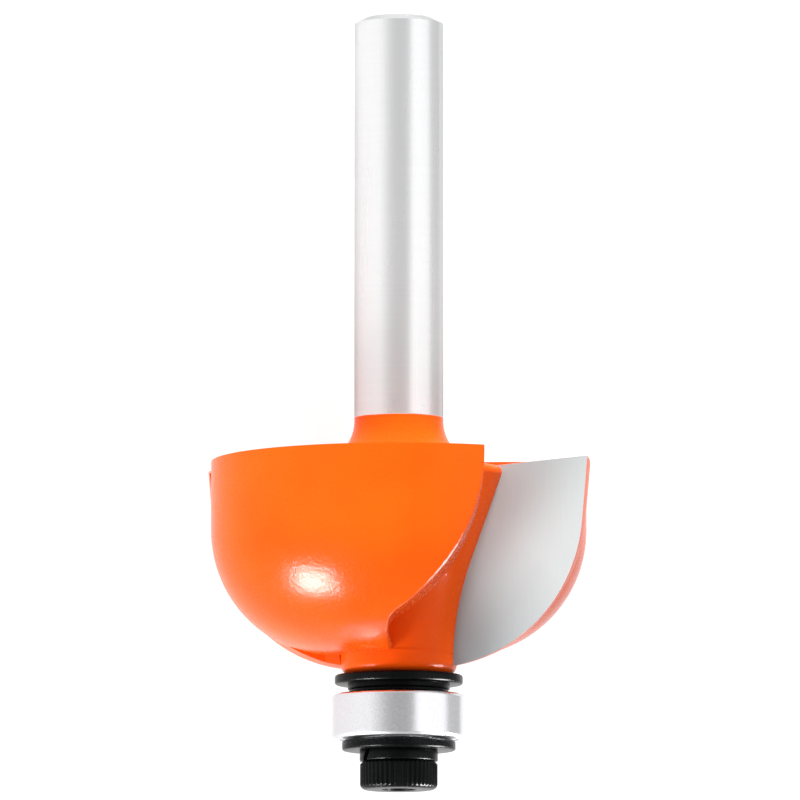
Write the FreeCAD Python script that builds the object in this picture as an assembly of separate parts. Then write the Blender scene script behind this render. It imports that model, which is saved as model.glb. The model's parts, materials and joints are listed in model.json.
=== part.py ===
"""Cove router bit with two carbide tips, a dust shield and a ball-bearing guide.

The bit is drawn upright: its axis is Z, the shank points to +Z, and z = 0 is the outer face of the
screw head. Angles are degrees round the axis, measured from +X towards +Y as seen from the shank
end. Seen from there the cutter turns clockwise. At the end every piece is laid down together, as
the loose bit comes to rest on a bench. Millimetres throughout.
"""
import FreeCAD, Part
import math
import os

V = FreeCAD.Vector

# Shank, neck and one-piece body
shank_radius = 3.175
shank_length = 28.52
shank_chamfer_reach = 0.85
shank_chamfer_height = 0.43
neck_fillet = 2.925
body_height = 13.77
lobe_radius = 13.35
lobe_round = 8.87
core_top_radius = 8.05
core_top_drop = 0.5
core_knee_share = 0.22
core_edge_round = 0.48
hub_radius = 4.12
hub_height = 1.45
hub_round = 0.72

# Flutes between the two lobes
gullet_wall_reach = 6.02
gullet_sweep_shortfall = 0.82
gullet_sweep_drop = 0.42
gullet_corner = 1.3
gullet_undercut = 0.08
gullet_floor_reach = 0.06
gullet_floor = 0.1
heel_edge_round = 0.28

# Cutting tips and the land behind them
cutting_radius = 14.2875
cove_radius = 11.1
side_taper = 5.06
tip_drop = 1.02
tip_top_gap = 0.05
tip_top_slope = 3.6
land_top_fall = 7.5
tip_thickness = 1.7
tip_root_radius = 3.7
tip_root_lean = 9.8
face_angle = -21.0
land_angle = 19.0
relief_offset = 2.4

# Stud for the guide bearing, with its tapped hole
stud_clearance = 0.006
stud_chamfer = 0.2
stud_shortfall = 0.25
tapped_hole_depth = 7.5
drill_point_angle = 118.0

# Guide bearing
bearing_radius = 4.7625
bearing_bore_radius = 2.38125
bearing_width = 3.175
bearing_corner = 0.25
bore_chamfer = 0.12
inner_land_radius = 2.975
outer_land_radius = 4.05
ball_count = 8
ball_radius = 0.794
ball_pitch_radius = 3.572
groove_clearance = 0.03
cage_inner_radius = 3.2
cage_outer_radius = 3.88
cage_floor = 0.26
cage_prong_reach = 0.35
pocket_clearance = 0.05
shield_thickness = 0.2
shield_inset = 0.06
shield_seat_depth = 0.17
shield_gap = 0.1

# Dust shield, spacer, washers and screw
flange_radius = 4.55
flange_thickness = 0.66
boss_radius = 3.625
boss_height = 0.37
spacer_radius = 3.52
spacer_thickness = 0.355
contact_radius = 2.85
contact_step = 0.1
washer_radius = 4.03
washer_thickness = 0.79
washer_chamfer = 0.08
lock_radius = 2.78
lock_thickness = 0.78
lock_gap = 0.4
lock_gap_angle = 214.0
lock_gap_lean = 30.0
screw_radius = 1.5
screw_length = 8.0
screw_clearance = 0.05
head_radius = 2.75
head_height = 2.0
head_chamfer = 0.16
hex_across_flats = 2.0
hex_depth = 1.2

# Heights along the axis, each standing on the one before
head_seat = head_height
washer_seat = head_seat + lock_thickness
bearing_bottom = washer_seat + washer_thickness
bearing_top = bearing_bottom + bearing_width
bearing_middle = bearing_bottom + bearing_width / 2
boss_bottom = bearing_top + spacer_thickness
flange_bottom = boss_bottom + boss_height
hub_seat = flange_bottom + flange_thickness
lobe_bottom = hub_seat + hub_height
body_top = lobe_bottom + body_height
core_top = body_top - core_top_drop
core_knee = lobe_bottom + core_knee_share * body_height
neck_top = body_top + neck_fillet
shank_end = neck_top + shank_length + shank_chamfer_height
stud_radius = bearing_bore_radius - stud_clearance
stud_end = bearing_bottom + stud_shortfall
tip_bottom = lobe_bottom - tip_drop
tip_top = body_top - tip_top_gap


def turned_towards(angle):
    """Unit vector square to the axis at an angle round it."""
    turn = math.radians(angle)
    return V(math.cos(turn), math.sin(turn), 0)


def rounded_outline(corners, place):
    """Closed wire through corners of (a, b) or (a, b, round); place turns (a, b) into a point."""
    points = [V(corner[0], corner[1], 0) for corner in corners]
    rounds = [corner[2] if len(corner) > 2 else 0 for corner in corners]
    count = len(points)
    stretches = []
    for i in range(count):
        corner = points[i]
        if rounds[i] == 0:
            stretches.append((corner, None, corner))
            continue
        back = (points[i - 1] - corner).normalize()
        ahead = (points[(i + 1) % count] - corner).normalize()
        half = back.getAngle(ahead) / 2
        setback = rounds[i] / math.tan(half)
        middle = corner + (back + ahead).normalize() * (rounds[i] / math.sin(half) - rounds[i])
        stretches.append((corner + back * setback, middle, corner + ahead * setback))
    edges = []
    for i in range(count):
        start, middle, end = stretches[i]
        if middle is not None:
            edges.append(Part.Arc(place(start), place(middle), place(end)).toShape())
        following = stretches[(i + 1) % count][0]
        if end.distanceToPoint(following) > 1e-6:
            edges.append(Part.LineSegment(place(end), place(following)).toShape())
    return Part.Wire(edges)


def turned(corners):
    """Solid of revolution about the axis from corners of (radius, height) or with a round."""
    outline = rounded_outline(corners, lambda p: V(p.x, 0, p.y))
    return Part.Face(outline).revolve(V(0, 0, 0), V(0, 0, 1), 360)


def ring(inner, outer, low, high):
    """Plain ring with square edges."""
    return turned([(inner, low), (outer, low), (outer, high), (inner, high)])


def half_turn(shape):
    """The same shape on the other side of the axis."""
    copy = shape.copy()
    copy.rotate(V(0, 0, 0), V(0, 0, 1), 180)
    return copy


def at_tip(shape):
    """Turn a shape drawn with the cutting face along +X to the first tip's angle."""
    copy = shape.copy()
    copy.rotate(V(0, 0, 0), V(0, 0, 1), face_angle)
    return copy


def core():
    """Shank, neck, bell-shaped core between the flutes, hub collar and stud, turned in one."""
    neck_foot = shank_radius + neck_fillet
    core_lean = math.atan2(core_top_radius - hub_radius, core_top - core_knee)
    core_sweep = (core_knee - hub_seat - hub_round) / math.tan(core_lean / 2)
    return turned([
        (0, stud_end),
        (stud_radius - stud_chamfer, stud_end),
        (stud_radius, stud_end + stud_chamfer),
        (stud_radius, hub_seat),
        (hub_radius, hub_seat, hub_round),
        (hub_radius, core_knee, core_sweep),
        (core_top_radius, core_top, core_edge_round),
        (neck_foot, core_top),
        (neck_foot, body_top),
        (shank_radius, body_top, neck_fillet),
        (shank_radius, shank_end - shank_chamfer_height),
        (shank_radius - shank_chamfer_reach, shank_end),
        (0, shank_end),
    ])


def flute():
    """Space of one flute: milled straight in, its heel wall a long sweep and a small corner."""
    gullet_sweep = body_height - gullet_sweep_shortfall
    sweep_x = gullet_wall_reach - gullet_sweep
    sweep_z = body_top - gullet_sweep_drop
    floor = lobe_bottom - gullet_undercut
    corner_z = floor + gullet_corner
    corner_x = sweep_x + math.sqrt((gullet_sweep + gullet_corner) ** 2 - (sweep_z - corner_z) ** 2)
    joint_angle = math.atan2(corner_z - sweep_z, corner_x - sweep_x)
    reach = 2 * cutting_radius
    roof = body_top + neck_fillet
    joint = V(sweep_x + gullet_sweep * math.cos(joint_angle), -reach,
              sweep_z + gullet_sweep * math.sin(joint_angle))
    sweep_middle = V(sweep_x + gullet_sweep * math.cos(joint_angle / 2), -reach,
                     sweep_z + gullet_sweep * math.sin(joint_angle / 2))
    corner_middle = V(corner_x - gullet_corner, -reach, corner_z)
    wall_foot = V(gullet_wall_reach, -reach, sweep_z)
    edges = [
        Part.LineSegment(V(gullet_wall_reach, -reach, roof), wall_foot).toShape(),
        Part.Arc(wall_foot, sweep_middle, joint).toShape(),
        Part.Arc(joint, corner_middle, V(corner_x, -reach, floor)).toShape(),
        Part.LineSegment(V(corner_x, -reach, floor), V(reach, -reach, floor)).toShape(),
        Part.LineSegment(V(reach, -reach, floor), V(reach, -reach, roof)).toShape(),
        Part.LineSegment(V(reach, -reach, roof), V(gullet_wall_reach, -reach, roof)).toShape(),
    ]
    prism = Part.Face(Part.Wire(edges)).extrude(V(0, 2 * reach, 0))
    ahead_of_face = Part.makeBox(4 * reach, 2 * reach, 2 * reach, V(-2 * reach, -2 * reach, 0))
    return prism.common(at_tip(ahead_of_face))


def lobes():
    """Two lobes: a rounded disc parted by the two flutes, with eased heels and a narrow floor."""
    disc = turned([(0, lobe_bottom), (lobe_radius, lobe_bottom, lobe_round), (lobe_radius, body_top),
                   (0, body_top)])
    disc.rotate(V(0, 0, 0), V(0, 0, 1), face_angle - land_angle)
    space = flute()
    parted = disc.cut(space).cut(half_turn(space))
    eased = parted.makeFillet(heel_edge_round, heel_edges(parted))
    floor = Part.makeCylinder(hub_radius + gullet_floor_reach, gullet_floor, V(0, 0, lobe_bottom))
    return eased.fuse(floor)


def heel_edges(solid):
    """Edges where the heel wall of each flute meets the outside of a lobe."""
    found = []
    for edge in solid.Edges:
        middle = edge.valueAt((edge.FirstParameter + edge.LastParameter) / 2)
        radius = math.hypot(middle.x, middle.y)
        from_face = (math.degrees(math.atan2(middle.y, middle.x)) - face_angle) % 180
        outside = radius > core_top_radius or middle.z < lobe_bottom + gullet_corner
        upright = abs(edge.BoundBox.ZLength) > heel_edge_round
        if outside and upright and 20 < from_face < 178:
            found.append(edge)
    return found


def land_sector(angle):
    """Sector behind the cutting face, from the face back by an angle."""
    reach = 2 * cutting_radius
    outline = Part.makePolygon([V(0, 0, 0), V(reach, 0, 0),
                                V(reach, reach * math.tan(math.radians(angle)), 0), V(0, 0, 0)])
    return Part.Face(outline).extrude(V(0, 0, shank_end))


def relieved_land(top):
    """Cutting outline turned about an axis set ahead of the face, so that it falls away behind it."""
    outer = math.hypot(cutting_radius, relief_offset)
    slope = math.tan(math.radians(side_taper))
    outer_at_top = outer + (top - tip_top) * slope
    outer_at_bottom = outer - (tip_top - tip_bottom) * slope
    land = turned([(0, tip_bottom), (outer_at_bottom, tip_bottom, cove_radius), (outer_at_top, top),
                   (0, top)])
    land.translate(V(0, -relief_offset, 0))
    return land


def tip_slab(top):
    """Flat plate behind the cutting face, with the straight leaning root of the tip."""
    lean = math.tan(math.radians(tip_root_lean))
    reach = 2 * cutting_radius
    outline = Part.makePolygon([
        V(tip_root_radius, 0, tip_bottom - tip_drop),
        V(reach, 0, tip_bottom - tip_drop),
        V(reach, 0, top),
        V(tip_root_radius + (top - tip_bottom) * lean, 0, top),
        V(tip_root_radius, 0, tip_bottom),
        V(tip_root_radius, 0, tip_bottom - tip_drop),
    ])
    return Part.Face(outline).extrude(V(0, tip_thickness, 0))


def above_tip():
    """Everything over the top of a tip, which falls away behind the face and towards the axis."""
    reach = 2 * cutting_radius
    block = Part.makeBox(2 * reach, 2 * reach, reach, V(-reach, -reach, 0))
    block.rotate(V(0, 0, 0), V(0, 1, 0), -tip_top_slope)
    block.rotate(V(0, 0, 0), V(1, 0, 0), -land_top_fall)
    block.translate(V(cutting_radius, 0, tip_top))
    return block


def carbide_tip():
    """Brazed plate, drawn with its cutting face along +X."""
    return relieved_land(body_top).common(tip_slab(body_top)).cut(above_tip())


def top_relief():
    """What is ground off the top of the body behind a tip, clear of the neck."""
    neck = Part.makeCylinder(shank_radius + neck_fillet, shank_end)
    return above_tip().common(land_sector(land_angle)).cut(neck)


def cutter_body():
    """One solid: core, lobes and lands, with the tip pockets and the tapped hole."""
    land = at_tip(relieved_land(body_top).common(land_sector(land_angle)))
    pocket = at_tip(relieved_land(neck_top).common(tip_slab(neck_top)))
    relief = at_tip(top_relief())
    body = core().fuse([lobes(), land, half_turn(land)])
    for space in (relief, pocket):
        body = body.cut(space).cut(half_turn(space))
    hole_radius = screw_radius + screw_clearance
    hole_end = stud_end + tapped_hole_depth
    point = hole_radius / math.tan(math.radians(drill_point_angle / 2))
    hole = turned([(0, stud_end - stud_chamfer), (hole_radius, stud_end - stud_chamfer),
                   (hole_radius, hole_end), (0, hole_end + point)])
    return body.cut(hole).removeSplitter()


def dust_shield():
    """Stepped shield: a flange under the hub and a narrower boss below it."""
    return turned([(bearing_bore_radius, boss_bottom), (boss_radius, boss_bottom),
                   (boss_radius, flange_bottom), (flange_radius, flange_bottom),
                   (flange_radius, hub_seat), (bearing_bore_radius, hub_seat)])


def spacer_washer():
    """Thin spacer whose raised rim bears on the inner ring alone."""
    return turned([(bearing_bore_radius, bearing_top), (contact_radius, bearing_top),
                   (contact_radius, bearing_top + contact_step),
                   (spacer_radius, bearing_top + contact_step),
                   (spacer_radius, boss_bottom), (bearing_bore_radius, boss_bottom)])


def ball_groove(clearance):
    """Ring of round section that the balls run in."""
    section = Part.makeTorus(ball_pitch_radius, ball_radius + clearance)
    section.translate(V(0, 0, bearing_middle))
    return section


def bearing_inner_ring():
    """Inner ring with its ball groove."""
    blank = turned([(bearing_bore_radius, bearing_bottom + bore_chamfer),
                    (bearing_bore_radius + bore_chamfer, bearing_bottom),
                    (inner_land_radius, bearing_bottom),
                    (inner_land_radius, bearing_top),
                    (bearing_bore_radius + bore_chamfer, bearing_top),
                    (bearing_bore_radius, bearing_top - bore_chamfer)])
    return blank.cut(ball_groove(groove_clearance))


def bearing_outer_ring():
    """Outer ring with rounded rims, its ball groove and a stepped seat for each shield."""
    seat_radius = outer_land_radius + shield_seat_depth
    seat_depth = shield_inset + shield_thickness
    blank = turned([(seat_radius, bearing_bottom), (bearing_radius, bearing_bottom, bearing_corner),
                    (bearing_radius, bearing_top, bearing_corner), (seat_radius, bearing_top),
                    (seat_radius, bearing_top - seat_depth),
                    (outer_land_radius, bearing_top - seat_depth),
                    (outer_land_radius, bearing_bottom + seat_depth),
                    (seat_radius, bearing_bottom + seat_depth)])
    return blank.cut(ball_groove(groove_clearance))


def bearing_shield(low):
    """Flat cover ring seated in the outer ring and running clear of the inner one."""
    return ring(inner_land_radius + shield_gap, outer_land_radius + shield_seat_depth,
                low, low + shield_thickness)


def ball(number):
    """One ball of the row."""
    place = turned_towards(360 * number / ball_count) * ball_pitch_radius
    return Part.makeSphere(ball_radius, place + V(0, 0, bearing_middle))


def bearing_cage():
    """Crown cage: a floor ring with prongs standing between the balls."""
    pocket_radius = ball_radius + pocket_clearance
    crown = ring(cage_inner_radius, cage_outer_radius, bearing_middle - pocket_radius - cage_floor,
                 bearing_middle + cage_prong_reach)
    for number in range(ball_count):
        place = turned_towards(360 * number / ball_count) * ball_pitch_radius
        crown = crown.cut(Part.makeSphere(pocket_radius, place + V(0, 0, bearing_middle)))
    return crown


def retaining_washer():
    """Washer that holds the bearing, raised at the middle to bear on the inner ring alone."""
    hole = screw_radius + screw_clearance
    shoulder = bearing_bottom - contact_step
    return turned([(hole, washer_seat), (washer_radius - washer_chamfer, washer_seat),
                   (washer_radius, washer_seat + washer_chamfer),
                   (washer_radius, shoulder - washer_chamfer),
                   (washer_radius - washer_chamfer, shoulder), (contact_radius, shoulder),
                   (contact_radius, bearing_bottom), (hole, bearing_bottom)])


def lock_washer():
    """Split spring washer pressed flat, its gap cut on a slant."""
    washer = ring(screw_radius + screw_clearance, lock_radius, head_seat, washer_seat)
    gap = Part.makeBox(2 * lock_radius, lock_gap, 3 * lock_thickness,
                       V(0, -lock_gap / 2, -1.5 * lock_thickness))
    gap.rotate(V(0, 0, 0), V(1, 0, 0), lock_gap_lean)
    gap.rotate(V(0, 0, 0), V(0, 0, 1), lock_gap_angle)
    gap.translate(V(0, 0, head_seat + lock_thickness / 2))
    return washer.cut(gap)


def bearing_screw():
    """Low-head socket cap screw that clamps the stack to the stud."""
    tip = head_seat + screw_length
    body = turned([(0, 0), (head_radius - head_chamfer, 0), (head_radius, head_chamfer),
                   (head_radius, head_seat - head_chamfer), (head_radius - head_chamfer, head_seat),
                   (screw_radius, head_seat), (screw_radius, tip - head_chamfer),
                   (screw_radius - head_chamfer, tip), (0, tip)])
    corner_radius = hex_across_flats / math.sqrt(3)
    corners = [turned_towards(60 * i) * corner_radius for i in range(7)]
    socket = Part.Face(Part.makePolygon(corners)).extrude(V(0, 0, hex_depth))
    return body.cut(socket)


def pieces():
    """Every piece by name, standing upright."""
    tip = at_tip(carbide_tip())
    found = {
        "cutter_body": cutter_body(),
        "carbide_tip_a": tip,
        "carbide_tip_b": half_turn(tip),
        "dust_shield": dust_shield(),
        "spacer_washer": spacer_washer(),
        "bearing_inner_ring": bearing_inner_ring(),
        "bearing_outer_ring": bearing_outer_ring(),
        "bearing_cage": bearing_cage(),
        "bearing_shield_upper": bearing_shield(bearing_top - shield_inset - shield_thickness),
        "bearing_shield_lower": bearing_shield(bearing_bottom + shield_inset),
        "retaining_washer": retaining_washer(),
        "lock_washer": lock_washer(),
        "bearing_screw": bearing_screw(),
    }
    for number in range(ball_count):
        found["bearing_ball_%d" % (number + 1)] = ball(number)
    return found


def lying_turn():
    """Rotation that lays the bit on one heel corner, one tip corner and the rim of its shank end."""
    heel_angle = 180 - math.degrees(math.acos(gullet_wall_reach / lobe_radius))
    heel = turned_towards(heel_angle) * lobe_radius
    tip = turned_towards(face_angle + 180) * cutting_radius
    rim_height = shank_end - shank_chamfer_height
    heel_arm = rim_height - body_top
    tip_arm = rim_height - tip_top
    across = V(heel.x * tip_arm - tip.x * heel_arm, heel.y * tip_arm - tip.y * heel_arm, 0)
    offset = shank_radius * (tip_arm - heel_arm)
    swing = math.acos(offset / across.Length)
    towards_floor = math.atan2(across.y, across.x) - swing
    floor_side = V(math.cos(towards_floor), math.sin(towards_floor), 0)
    if floor_side.dot(heel + tip) < 0:
        towards_floor = math.atan2(across.y, across.x) + swing
        floor_side = V(math.cos(towards_floor), math.sin(towards_floor), 0)
    tilt = math.atan2(floor_side.dot(heel) - shank_radius, heel_arm)
    down = floor_side * math.cos(tilt) + V(0, 0, math.sin(tilt))
    forward = V(0, 0, math.cos(tilt)) - floor_side * math.sin(tilt)
    up = down * -1
    right = forward.cross(up)
    return FreeCAD.Placement(FreeCAD.Matrix(
        right.x, right.y, right.z, 0,
        forward.x, forward.y, forward.z, 0,
        up.x, up.y, up.z, 0,
        0, 0, 0, 1))


def resting_place(upright):
    """Placement that lays the pieces down, centred over the origin with z = 0 the bench."""
    turn = lying_turn()
    whole = Part.makeCompound(list(upright.values()))
    whole.Placement = turn
    box = whole.optimalBoundingBox(False, False)
    centre = V((box.XMin + box.XMax) / 2, (box.YMin + box.YMax) / 2, box.ZMin)
    return FreeCAD.Placement(centre * -1, turn.Rotation)


def main():
    os.makedirs("parts", exist_ok=True)
    upright = pieces()
    place = resting_place(upright)
    for name, shape in upright.items():
        laid = shape.copy()
        laid.Placement = place.multiply(shape.Placement)
        laid.exportStep("parts/%s.step" % name)
        print(name, len(laid.Solids), laid.isValid(), round(laid.Volume, 3))


main()
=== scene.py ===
"""Looks of the cove router bit: orange coat, ground steel, carbide, black oxide and bearing steel.

Pieces are worked out in the bit's own upright frame, in millimetres: Z runs along its axis from the
outer face of the screw head towards the shank end. bit_to_row then lays them down in the row frame.
"""
import json
import math

import bmesh
import bpy
from mathutils import Matrix, Vector


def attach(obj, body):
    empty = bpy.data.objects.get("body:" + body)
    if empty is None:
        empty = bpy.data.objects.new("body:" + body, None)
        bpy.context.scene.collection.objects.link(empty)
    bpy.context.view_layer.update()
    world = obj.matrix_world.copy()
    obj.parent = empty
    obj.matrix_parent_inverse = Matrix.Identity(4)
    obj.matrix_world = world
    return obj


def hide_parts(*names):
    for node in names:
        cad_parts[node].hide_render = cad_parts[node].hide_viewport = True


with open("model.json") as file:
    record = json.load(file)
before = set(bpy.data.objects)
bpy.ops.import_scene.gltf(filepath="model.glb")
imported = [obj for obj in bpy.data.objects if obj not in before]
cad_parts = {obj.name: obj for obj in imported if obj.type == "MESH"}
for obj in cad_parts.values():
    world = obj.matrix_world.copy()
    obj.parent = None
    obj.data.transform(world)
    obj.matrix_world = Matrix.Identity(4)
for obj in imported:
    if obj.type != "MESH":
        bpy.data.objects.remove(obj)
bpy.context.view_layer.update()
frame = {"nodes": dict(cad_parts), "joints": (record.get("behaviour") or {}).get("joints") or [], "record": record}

MM = 0.001

# The bit's own frame, from the mounts and joints of the record
mounts = {mount["name"]: mount for mount in frame["record"]["mounts"]}
joints = {joint["name"]: joint for joint in frame["joints"]}
bit_axis = Vector(mounts["shank"]["axis"]).normalized()
head_face = Vector(mounts["screw_socket"]["pos_m"])
bearing_middle = Vector(mounts["guide_rim"]["pos_m"])
first_ball = Vector(joints["ball_1_spin"]["pos_m"])
bit_x = (first_ball - bearing_middle).normalized()
bit_y = bit_axis.cross(bit_x)
bit_turn = Matrix((bit_x, bit_y, bit_axis)).transposed()
bit_to_row = Matrix.Translation(head_face) @ bit_turn.to_4x4() @ Matrix.Scale(MM, 4)
row_to_bit = bit_to_row.inverted()

# Camera: the photograph looks a little upwards at the hanging bit; the clips are in metres
camera_distance = 900.0
camera_rise = 6.3
view_width = 56.94
view_centre = Vector((0.085, 0, 27.81))
sensor_width = 36.0
clip_near = 0.01
clip_far = 20

# Room: directions in the row frame, and degrees away from them
room_white = 0.62
bright_wall = (-0.85, 0.45, 0.25)
bright_wall_white = 1.05
bright_wall_inner = 10.0
bright_wall_outer = 90.0
opening_direction = (-0.679, 0.107, 0.726)
opening_inner = 5.0
opening_outer = 45.0
opening_dark = 0.5
below_outer = 95.0
below_inner = 89.0

# Lights: direction from the body's middle, distance and side in metres, power in watts
body_middle = Vector((0, 0, 16))
overhead_box = ((0.25, 0.28, 0.92), 0.8, 0.8, 1.5)
diffuse_lights = {
    "front_fill": ((-0.92, -0.42, 0.24), 1.2, 0.4, 2.5),
    "low_fill": ((-0.70, -0.70, -0.15), 1.0, 0.3, 8.5),
    "neck_fill": ((-0.18, 0.96, 0.14), 1.0, 0.2, 18.0)}
gloss_lights = {
    "low_box": ((-0.62, -0.75, -0.10), 0.4, 0.13, 13.0),
    "heel_box": ((0.58, -0.43, 0.55), 0.4, 0.20, 15.0),
    "head_box": ((0.267, -0.945, -0.19), 0.4, 0.02, 0.4)}

# Floor, its radius in metres
floor_radius = 3.0
floor_sides = 64
floor_grey = 0.25
floor_glow = 0.86
floor_rough = 0.9
floor_sheen = 0.1

# Finishes: the heights of bumps are in metres, other lengths in millimetres
# Grey noise: the range that most of it lies in
noise_low = 0.3
noise_high = 0.7

# Orange coat: it ends at a height of the bit, in a slightly wavering edge
coat_top = 26.5
coat_top_waver = 0.06
coat_top_fade = 0.06
coat_deep = (0.80, 0.080, 0.003)
coat_light = (0.84, 0.098, 0.004)
coat_cloud_edges = (0.35, 0.65)
coat_ior = 1.19
coat_tint = 0.5
coat_rough = 0.21
speck_rough = 0.34
speck_edges = (0.57, 0.68)
peel_height = 0.00002

# Ground steel of the shank
ground_steel = (0.64, 0.645, 0.65)
ground_metallic = 0.80
ground_rough = (0.27, 0.28)
ring_stretch = (0.25, 0.25, 5.0)
streak_stretch = (0.6, 0.6, 0.05)
ring_share = 0.6
steel_shades = (0.95, 1.05)
ring_relief = 0.006

# Carbide: painted shade on the ground face, darker towards the root of the tip, beside the hub
face_angle = -21.0
face_depth = 0.02
flank_depth = 0.05
carbide_grey = (0.40, 0.435, 0.44)
# Painted shade: the darker grey at the root of the tip stands in for the shade beside the hub
carbide_painted_shade = (0.24, 0.27, 0.28)
painted_shade_centre = (4.5, 0, 10.0)
painted_shade_near = 1.0
painted_shade_far = 9.0
grind_stretch = (7.0, 1.0, 0.35)
grind_edges = (0.3, 0.8)
grind_share = 0.12
grind_shade = 0.6
grind_height = 0.000002
carbide_metallic = 0.15
carbide_sheen = 0.08
carbide_rough = (0.48, 0.56)
flank_rough = 0.30

# Black oxide
black_grey = (0.0012, 0.0015, 0.0016)
rub_edges = (0.4, 0.8)
rub_lightens = 1.8
black_ior = 1.17
black_rough = (0.24, 0.32)
black_grain_height = 0.0000006
black_corner = 0.05
corner_samples = 6

# Bearing steel and pressed steel
bearing_grey = (0.70, 0.70, 0.725)
bearing_shades = (0.86, 1.10)
bearing_rough = (0.20, 0.24)
bearing_ring_stretch = (0.3, 0.3, 14.0)
bearing_ring_height = 0.0000003
sheet_dark = (0.48, 0.48, 0.49)
sheet_light = (0.60, 0.60, 0.61)
sheet_rough = (0.28, 0.38)
sheet_height = 0.000003

# Rims of the turned pieces
flange_round = 0.16
boss_round = 0.08
spacer_round = 0.06
washer_round = 0.14
corner_steps = 3
rim_steps = 4
head_round_steps = 6

# Socket screw
knurl_teeth = 46
points_to_tooth = 6
knurl_depth = 0.09
head_round = 0.40
screw_radius = 1.5
hex_across_flats = 2.0
hex_lead_in = 0.10
hex_depth = 1.2
hex_point_depth = 0.3
underside_round = 0.12
screw_tip_chamfer = 0.3

# Split lock washer
lock_gap = 0.4
lock_gap_angle = 214.0
lock_gap_lean = 30.0
lock_corner = 0.09
lock_steps = 132

# Meshes: steps of a full turn, how near two places count as one, and the edge that stays sharp
turn_steps = 144
merge_reach = 0.0005
same_place = 0.002
same_level = 0.005
least_step = 0.02
sharp_angle = 32.0


# Frame helpers

def span(node):
    """Lowest height, highest height, smallest and largest radius of a node in the bit's frame."""
    points = [row_to_bit @ vertex.co for vertex in frame["nodes"][node].data.vertices]
    heights = [point.z for point in points]
    radii = [math.hypot(point.x, point.y) for point in points]
    return min(heights), max(heights), min(radii), max(radii)


def turned_towards(angle):
    """Unit vector square to the bit's axis at an angle round it, in degrees."""
    turn = math.radians(angle)
    return Vector((math.cos(turn), math.sin(turn), 0))


# Material helpers

def new_material(name):
    """Empty material with one shader; returns the material and its shader."""
    material = bpy.data.materials.new(name)
    material.use_nodes = True
    shader = material.node_tree.nodes["Principled BSDF"]
    return material, shader


def add(material, kind, **inputs):
    """New node of a material; inputs are values or the outputs of other nodes."""
    node = material.node_tree.nodes.new(kind)
    for name, value in inputs.items():
        connect(material, node.inputs[name.replace("_", " ")], value)
    return node


def connect(material, socket, value):
    """Set a socket to a value, or link it to another node's output."""
    if isinstance(value, bpy.types.NodeSocket):
        material.node_tree.links.new(value, socket)
    else:
        socket.default_value = value


def math_of(material, operation, first, second=0.0):
    """Output of a math node."""
    node = add(material, "ShaderNodeMath")
    node.operation = operation
    connect(material, node.inputs[0], first)
    connect(material, node.inputs[1], second)
    return node.outputs[0]


def ramp_between(material, value, low, high, to_low=0.0, to_high=1.0):
    """Value mapped from one range to another and held at its ends."""
    node = add(material, "ShaderNodeMapRange", Value=value, From_Min=low, From_Max=high,
               To_Min=to_low, To_Max=to_high)
    return node.outputs[0]


def spread(material, grey, to_low, to_high):
    """Grey noise spread over a range of values."""
    return ramp_between(material, grey, noise_low, noise_high, to_low, to_high)


def shaded(colour, share):
    """Colour made darker or lighter."""
    return tuple(channel * share for channel in colour)


def mixed_colour(material, share, first, second):
    """Colour between two, by a share from 0 to 1."""
    node = add(material, "ShaderNodeMix")
    node.data_type = "RGBA"
    connect(material, node.inputs[0], share)
    for socket, value in ((node.inputs[6], first), (node.inputs[7], second)):
        connect(material, socket, (*value, 1) if isinstance(value, tuple) else value)
    return node.outputs[2]


def mixed_value(material, share, first, second):
    """Number between two, by a share from 0 to 1."""
    node = add(material, "ShaderNodeMix")
    connect(material, node.inputs[0], share)
    connect(material, node.inputs[2], first)
    connect(material, node.inputs[3], second)
    return node.outputs[0]


def bit_coordinates(material):
    """Object coordinates turned into the bit's own frame, in millimetres."""
    source = add(material, "ShaderNodeTexCoord")
    mapping = add(material, "ShaderNodeMapping", Vector=source.outputs["Object"])
    mapping.inputs["Scale"].default_value = (1 / MM, 1 / MM, 1 / MM)
    mapping.inputs["Rotation"].default_value = bit_turn.inverted().to_euler()
    mapping.inputs["Location"].default_value = row_to_bit.translation
    return mapping.outputs[0]


def stretched(material, coordinates, scale):
    """Coordinates scaled by a different number along each direction."""
    mapping = add(material, "ShaderNodeMapping", Vector=coordinates)
    mapping.inputs["Scale"].default_value = scale
    return mapping.outputs[0]


def noise(material, coordinates, per_mm=1.0, detail=2.0):
    """Grey noise with a number of lumps to a millimetre of its coordinates."""
    node = add(material, "ShaderNodeTexNoise", Vector=coordinates, Scale=per_mm, Detail=detail)
    return node.outputs[0]


def bump(material, relief, distance, normal=None):
    """Normal disturbed by a relief; distance is its height in metres."""
    node = add(material, "ShaderNodeBump", Height=relief, Distance=distance, Strength=1.0)
    if normal is not None:
        connect(material, node.inputs["Normal"], normal)
    return node.outputs[0]


def eased_normal(material, radius):
    """Normal rounded over sharp edges by a radius in millimetres."""
    node = add(material, "ShaderNodeBevel", Radius=radius * MM)
    node.samples = corner_samples
    return node.outputs[0]


# Materials

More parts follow.
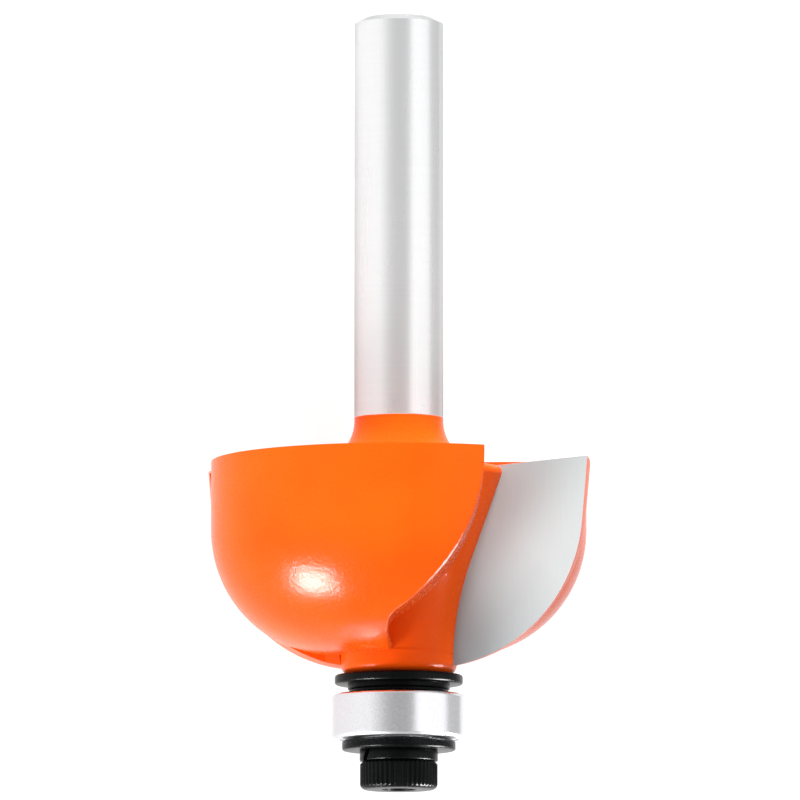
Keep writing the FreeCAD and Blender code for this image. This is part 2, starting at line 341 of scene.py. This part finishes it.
def coated_body():
    """Smooth orange coat up to the neck, and the bare shank ground round above it."""
    material, shader = new_material("coated_body")
    place = bit_coordinates(material)
    height = add(material, "ShaderNodeSeparateXYZ", Vector=place).outputs[2]
    waver = math_of(material, "MULTIPLY", noise(material, place, per_mm=0.8), coat_top_waver)
    edge = math_of(material, "ADD", height, waver)
    bare = ramp_between(material, edge, coat_top, coat_top + coat_top_fade)
    clouds = ramp_between(material, noise(material, place, per_mm=0.12), *coat_cloud_edges)
    coat = mixed_colour(material, clouds, coat_deep, coat_light)
    rings = noise(material, stretched(material, place, ring_stretch))
    streaks = noise(material, stretched(material, place, streak_stretch))
    shade = math_of(material, "ADD", math_of(material, "MULTIPLY", rings, ring_share),
                    math_of(material, "MULTIPLY", streaks, 1 - ring_share))
    steel = mixed_colour(material, shade, *[shaded(ground_steel, share) for share in steel_shades])
    connect(material, shader.inputs["Base Color"], mixed_colour(material, bare, coat, steel))
    connect(material, shader.inputs["Metallic"], math_of(material, "MULTIPLY", bare, ground_metallic))
    shader.inputs["IOR"].default_value = coat_ior
    shader.inputs["Specular Tint"].default_value = (coat_tint, coat_tint, coat_tint, 1)
    specks = ramp_between(material, noise(material, place, per_mm=5.5, detail=1.0), *speck_edges)
    rough = mixed_value(material, bare, mixed_value(material, specks, coat_rough, speck_rough),
                        spread(material, streaks, *ground_rough))
    connect(material, shader.inputs["Roughness"], rough)
    peel = noise(material, place, per_mm=4.5)
    relief = mixed_value(material, bare, peel, math_of(material, "MULTIPLY", rings, ring_relief))
    connect(material, shader.inputs["Normal"], bump(material, relief, peel_height))
    return material


def carbide():
    """Ground grey on the cutting faces with painted shade towards the root of each tip, the orange coat on every
    other side.
    """
    material, shader = new_material("carbide")
    place = bit_coordinates(material)
    depth = add(material, "ShaderNodeVectorMath", Vector=place)
    depth.operation = "DOT_PRODUCT"
    depth.inputs[1].default_value = turned_towards(face_angle + 90)
    off_face = math_of(material, "ABSOLUTE", depth.outputs["Value"])
    coated = ramp_between(material, off_face, face_depth, flank_depth)
    turned = add(material, "ShaderNodeMapping", Vector=place)
    turned.inputs["Rotation"].default_value = (0, 0, -math.radians(face_angle))
    lines = noise(material, stretched(material, turned.outputs[0], grind_stretch), detail=4.0)
    clouds = noise(material, place, per_mm=0.25)
    # Painted shade: the ground grey darkens towards the root of either tip, beside the hub, by distance from that
    # root
    either_tip = add(material, "ShaderNodeVectorMath", Vector=turned.outputs[0])
    either_tip.operation = "ABSOLUTE"
    from_painted_shade = add(material, "ShaderNodeVectorMath", Vector=either_tip.outputs[0])
    from_painted_shade.operation = "DISTANCE"
    from_painted_shade.inputs[1].default_value = painted_shade_centre
    lit = ramp_between(material, from_painted_shade.outputs["Value"], painted_shade_near, painted_shade_far)
    ground = mixed_colour(material, lit, carbide_painted_shade, carbide_grey)
    scored = ramp_between(material, lines, *grind_edges, to_high=grind_share)
    grey = mixed_colour(material, scored, ground, shaded(carbide_grey, grind_shade))
    orange = mixed_colour(material, clouds, coat_deep, coat_light)
    connect(material, shader.inputs["Base Color"], mixed_colour(material, coated, grey, orange))
    shader.inputs["Specular IOR Level"].default_value = carbide_sheen
    connect(material, shader.inputs["Metallic"], mixed_value(material, coated, carbide_metallic, 0.0))
    rough = mixed_value(material, coated, spread(material, lines, *carbide_rough), flank_rough)
    connect(material, shader.inputs["Roughness"], rough)
    connect(material, shader.inputs["Normal"], bump(material, lines, grind_height))
    return material


def black_oxide():
    """Blackened steel with a satin oil film, a little greyer where it is rubbed."""
    material, shader = new_material("black_oxide")
    place = bit_coordinates(material)
    clouds = noise(material, place, per_mm=1.2, detail=3.0)
    rubbed = ramp_between(material, clouds, *rub_edges)
    connect(material, shader.inputs["Base Color"],
            mixed_colour(material, rubbed, black_grey, shaded(black_grey, rub_lightens)))
    shader.inputs["IOR"].default_value = black_ior
    shader.inputs["Metallic"].default_value = 0.0
    film = noise(material, place, per_mm=3.0)
    connect(material, shader.inputs["Roughness"], spread(material, film, *black_rough))
    grain = noise(material, place, per_mm=9.0, detail=3.0)
    smooth = eased_normal(material, black_corner)
    connect(material, shader.inputs["Normal"], bump(material, grain, black_grain_height, smooth))
    return material


def bearing_steel():
    """Bright bearing steel with the fine rings of its grinding."""
    material, shader = new_material("bearing_steel")
    place = bit_coordinates(material)
    rings = noise(material, stretched(material, place, bearing_ring_stretch))
    grain = noise(material, place, per_mm=7.0, detail=3.0)
    grey = mixed_colour(material, grain, *[shaded(bearing_grey, share) for share in bearing_shades])
    connect(material, shader.inputs["Base Color"], grey)
    shader.inputs["Metallic"].default_value = 1.0
    connect(material, shader.inputs["Roughness"], spread(material, grain, *bearing_rough))
    connect(material, shader.inputs["Normal"], bump(material, rings, bearing_ring_height))
    return material


def pressed_steel():
    """Thin sheet steel, satin from the press."""
    material, shader = new_material("pressed_steel")
    place = bit_coordinates(material)
    clouds = noise(material, place, per_mm=4.0, detail=3.0)
    grey = mixed_colour(material, clouds, sheet_dark, sheet_light)
    connect(material, shader.inputs["Base Color"], grey)
    shader.inputs["Metallic"].default_value = 1.0
    connect(material, shader.inputs["Roughness"], spread(material, clouds, *sheet_rough))
    connect(material, shader.inputs["Normal"], bump(material, clouds, sheet_height))
    return material


def pale_floor():
    """Plain bench that glows, so that it stays white under the bit."""
    material, shader = new_material("pale_floor")
    shader.inputs["Emission Color"].default_value = (1, 1, 1, 1)
    shader.inputs["Emission Strength"].default_value = floor_glow
    shader.inputs["Base Color"].default_value = (floor_grey, floor_grey, floor_grey, 1)
    shader.inputs["Roughness"].default_value = floor_rough
    shader.inputs["Specular IOR Level"].default_value = floor_sheen
    return material


# Mesh helpers

def profile(mesh, corners, closed=True):
    """Vertices and edges of an outline through corners of (radius, height)."""
    points = [mesh.verts.new((radius, 0, height)) for radius, height in corners]
    first = 0 if closed else 1
    sides = [mesh.edges.new((points[i - 1], points[i])) for i in range(first, len(points))]
    return points + sides


def turned_profile(corners, steps, closed=True):
    """Mesh of an outline turned fully about the bit's axis."""
    mesh = bmesh.new()
    bmesh.ops.spin(mesh, geom=profile(mesh, corners, closed), cent=(0, 0, 0), axis=(0, 0, 1),
                   angle=2 * math.pi, steps=steps, use_merge=True)
    bmesh.ops.remove_doubles(mesh, verts=mesh.verts, dist=merge_reach)
    bmesh.ops.recalc_face_normals(mesh, faces=mesh.faces)
    return mesh


def circle_points(mesh, radius, height):
    """Vertices on the circle of a radius at a height."""
    return [vertex for vertex in mesh.verts
            if abs(math.hypot(vertex.co.x, vertex.co.y) - radius) < same_place
            and abs(vertex.co.z - height) < same_place]


def circle_edges(mesh, radius, height):
    """Edges that run round the circle of a radius at a height."""
    points = set(circle_points(mesh, radius, height))
    return [edge for edge in mesh.edges if points.issuperset(edge.verts)]


def round_circle(mesh, radius, height, reach, segments=corner_steps):
    """Round the edge that runs round the piece at a radius and height."""
    bmesh.ops.bevel(mesh, geom=circle_edges(mesh, radius, height), offset=reach, segments=segments,
                    profile=0.5, affect="EDGES", material=-1)


def finished(mesh, name, material, slot, body, *nodes):
    """Lay a bmesh down in the row frame as a piece that rides on a body and stands for nodes."""
    bmesh.ops.transform(mesh, matrix=bit_to_row, verts=mesh.verts)
    data = bpy.data.meshes.new(name)
    mesh.to_mesh(data)
    mesh.free()
    data.materials.append(material)
    data.shade_smooth()
    data.set_sharp_from_angle(angle=math.radians(sharp_angle))
    piece = bpy.data.objects.new(name, data)
    bpy.context.scene.collection.objects.link(piece)
    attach(piece, body)
    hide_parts(*nodes)
    return piece


# Pieces

def step_between(node, lower):
    """Radius and height of the step on a turned node, nearest its lower or upper end."""
    low, high = span(node)[:2]
    end, other = (low, high) if lower else (high, low)
    points = [row_to_bit @ vertex.co for vertex in frame["nodes"][node].data.vertices]
    narrow = max(point.xy.length for point in points if abs(point.z - end) < same_level)
    heights = [point.z for point in points if abs(point.xy.length - narrow) < same_level
               and abs(point.z - end) > least_step]
    return narrow, min(heights, key=lambda height: abs(height - end), default=other)


def black_dust_shield(material):
    """Flange and boss with eased rims."""
    low, high, bore, flange = span("dust_shield")
    boss, step = step_between("dust_shield", True)
    mesh = turned_profile([(bore, low), (boss, low), (boss, step), (flange, step), (flange, high),
                           (bore, high)], turn_steps)
    round_circle(mesh, flange, step, flange_round, rim_steps)
    round_circle(mesh, flange, high, flange_round, rim_steps)
    round_circle(mesh, boss, low, boss_round)
    return finished(mesh, "black_dust_shield", material, "black_oxide", "cutter", "dust_shield")


def black_spacer(material):
    """Thin ring between the shield and the bearing."""
    low, high, bore, outer = span("spacer_washer")
    contact, step = step_between("spacer_washer", True)
    mesh = turned_profile([(bore, low), (contact, low), (contact, step), (outer, step),
                           (outer, high), (bore, high)], turn_steps)
    round_circle(mesh, outer, step, spacer_round)
    round_circle(mesh, outer, high, spacer_round)
    return finished(mesh, "black_spacer", material, "black_oxide", "cutter", "spacer_washer")


def black_washer(material):
    """Flat washer with rolled rims and the raised middle that meets the bearing."""
    low, high, bore, outer = span("retaining_washer")
    contact, step = step_between("retaining_washer", False)
    mesh = turned_profile([(bore, low), (outer, low), (outer, step), (contact, step),
                           (contact, high), (bore, high)], turn_steps)
    round_circle(mesh, outer, low, washer_round, rim_steps)
    round_circle(mesh, outer, step, washer_round, rim_steps)
    return finished(mesh, "black_washer", material, "black_oxide", "cutter", "retaining_washer")


def knurled_screw(material):
    """Socket screw: knurled head rounded towards its face, hexagon socket and plain shank."""
    low, high, _, crest = span("bearing_screw")
    seat = span("lock_washer")[0]
    corner_radius = hex_across_flats / math.sqrt(3)
    lead_radius = corner_radius + hex_lead_in
    root = crest - knurl_depth
    head = seat - underside_round
    mesh = turned_profile([
        (0, low + hex_depth + hex_point_depth),
        (corner_radius, low + hex_depth),
        (corner_radius, low + hex_lead_in),
        (lead_radius, low),
        (crest, low),
        (crest, head - knurl_depth),
        (root, head),
        (root - underside_round, seat),
        (screw_radius, seat),
        (screw_radius, high - screw_tip_chamfer),
        (screw_radius - screw_tip_chamfer, high),
        (0, high)], knurl_teeth * points_to_tooth, closed=False)
    for height in (low + hex_depth, low + hex_lead_in):
        for point in circle_points(mesh, corner_radius, height):
            flat_to_hexagon(point, corner_radius, height == low + hex_lead_in)
    round_circle(mesh, crest, low, head_round, head_round_steps)
    for point in mesh.verts:
        press_knurl(point, crest)
    return finished(mesh, "knurled_screw", material, "black_oxide", "cutter", "bearing_screw")


def flat_to_hexagon(point, corner_radius, leads_in):
    """Move a point of the socket's circle in to the flat of the hexagon, and down its lead-in."""
    angle = math.degrees(math.atan2(point.co.y, point.co.x))
    radius = hex_across_flats / 2 / math.cos(math.radians(angle % 60 - 30))
    if leads_in:
        point.co.z += corner_radius - radius
    point.co.xy *= radius / corner_radius


def press_knurl(point, crest):
    """Move a point of the head's rim in to the knurl's waves, where it stands out of them."""
    angle = math.atan2(point.co.y, point.co.x)
    wave = 0.5 - 0.5 * math.cos(angle * knurl_teeth)
    radius = point.co.xy.length
    limit = crest - knurl_depth * wave
    if radius > limit:
        point.co.xy *= limit / radius


def split_washer(material):
    """Lock washer with eased corners, its ends parted by a slanting gap."""
    low, high, bore, outer = span("lock_washer")
    middle = (low + high) / 2
    corners = [(bore, low), (outer, low), (outer, high), (bore, high)]
    gap_turn = 2 * lock_gap / (bore + outer)
    mesh = bmesh.new()
    bmesh.ops.spin(mesh, geom=profile(mesh, corners), cent=(0, 0, 0), axis=(0, 0, 1),
                   angle=2 * math.pi - gap_turn, steps=lock_steps)
    bmesh.ops.holes_fill(mesh, edges=[edge for edge in mesh.edges if edge.is_boundary])
    for radius, height in corners:
        round_circle(mesh, radius, height, lock_corner)
    start = math.radians(lock_gap_angle) + gap_turn / 2
    for point in mesh.verts:
        radius = math.hypot(point.co.x, point.co.y)
        slant = (point.co.z - middle) * math.tan(math.radians(lock_gap_lean)) / radius
        point.co.rotate(Matrix.Rotation(start + slant, 3, "Z"))
    bmesh.ops.recalc_face_normals(mesh, faces=mesh.faces)
    return finished(mesh, "split_washer", material, "black_oxide", "cutter", "lock_washer")


def set_materials():
    """Make the finishes and give each CAD node that of its slot."""
    made = {"coated_body": coated_body(), "carbide": carbide(), "black_oxide": black_oxide(),
            "bearing_steel": bearing_steel(), "pressed_steel": pressed_steel()}
    slots = {part["node"]: part["material_slot"] for part in frame["record"]["subparts"]}
    for name, node in frame["nodes"].items():
        node.data.materials.clear()
        node.data.materials.append(made[slots[name]])
    return made


# Stage

def bench():
    """Floor under the bit, which lets the low lights shine up through it."""
    mesh = bmesh.new()
    bmesh.ops.create_circle(mesh, cap_ends=True, segments=floor_sides, radius=floor_radius)
    data = bpy.data.meshes.new("bench")
    mesh.to_mesh(data)
    mesh.free()
    data.materials.append(pale_floor())
    floor = bpy.data.objects.new("bench", data)
    bpy.context.scene.collection.objects.link(floor)
    floor.visible_shadow = False


def camera():
    """Far camera from where the photograph looks, with the bit's axis upright in the picture."""
    rise = math.radians(camera_rise)
    looking = bit_turn @ Vector((0, math.cos(rise), math.sin(rise)))
    target = bit_to_row @ view_centre
    sideways = looking.cross(bit_axis).normalized()
    upwards = sideways.cross(looking)
    place = Matrix((sideways, upwards, -looking)).transposed().to_4x4()
    place.translation = target - looking * camera_distance * MM
    data = bpy.data.cameras.new("camera")
    data.sensor_width = sensor_width
    data.lens = sensor_width * camera_distance / view_width
    data.clip_start = clip_near
    data.clip_end = clip_far
    seen = bpy.data.objects.new("camera", data)
    seen.matrix_world = place
    bpy.context.scene.collection.objects.link(seen)
    bpy.context.scene.camera = seen


def soft_light(name, direction, distance, side, power):
    """Square light that faces the body of the bit from a direction."""
    data = bpy.data.lights.new(name, "AREA")
    data.shape = "SQUARE"
    data.size = side
    data.energy = power
    light = bpy.data.objects.new(name, data)
    towards = Vector(direction).normalized()
    light.location = bit_to_row @ body_middle + towards * distance
    light.rotation_euler = towards.to_track_quat("Z", "Y").to_euler()
    bpy.context.scene.collection.objects.link(light)
    return light


def turning_towards(world, direction, towards, outer, inner, before, after):
    """Value that changes as a direction comes within an outer and then an inner angle of another."""
    share = add(world, "ShaderNodeVectorMath")
    share.operation = "DOT_PRODUCT"
    connect(world, share.inputs[0], direction)
    share.inputs[1].default_value = Vector(towards).normalized()
    fade = add(world, "ShaderNodeMapRange", Value=share.outputs["Value"],
               From_Min=math.cos(math.radians(outer)), From_Max=math.cos(math.radians(inner)),
               To_Min=before, To_Max=after)
    fade.interpolation_type = "SMOOTHSTEP"
    return fade.outputs[0]


def room():
    """White room with a bright wall and a darker opening, and no light from below the bench."""
    world = bpy.data.worlds.new("room")
    world.use_nodes = True
    direction = add(world, "ShaderNodeTexCoord").outputs["Generated"]
    wall = turning_towards(world, direction, bright_wall, bright_wall_outer, bright_wall_inner,
                           room_white, bright_wall_white)
    opening = turning_towards(world, direction, opening_direction, opening_outer, opening_inner,
                              1.0, opening_dark)
    above = turning_towards(world, direction, (0, 0, 1), below_outer, below_inner, 0.0, 1.0)
    background = world.node_tree.nodes["Background"]
    background.inputs["Color"].default_value = (1, 1, 1, 1)
    lit = math_of(world, "MULTIPLY", math_of(world, "MULTIPLY", wall, opening), above)
    connect(world, background.inputs["Strength"], lit)
    bpy.context.scene.world = world


def lights():
    """Room light, an overhead box, fills that add no gloss and small boxes that add only gloss."""
    room()
    soft_light("overhead_box", *overhead_box)
    for name, setting in diffuse_lights.items():
        fill = soft_light(name, *setting)
        fill.visible_glossy = False
    for name, setting in gloss_lights.items():
        box = soft_light(name, *setting)
        box.visible_diffuse = False


camera()
lights()
bench()
finishes = set_materials()
black_dust_shield(finishes["black_oxide"])
black_spacer(finishes["black_oxide"])
black_washer(finishes["black_oxide"])
split_washer(finishes["black_oxide"])
knurled_screw(finishes["black_oxide"])
bpy.context.scene.view_settings.view_transform = "Standard"
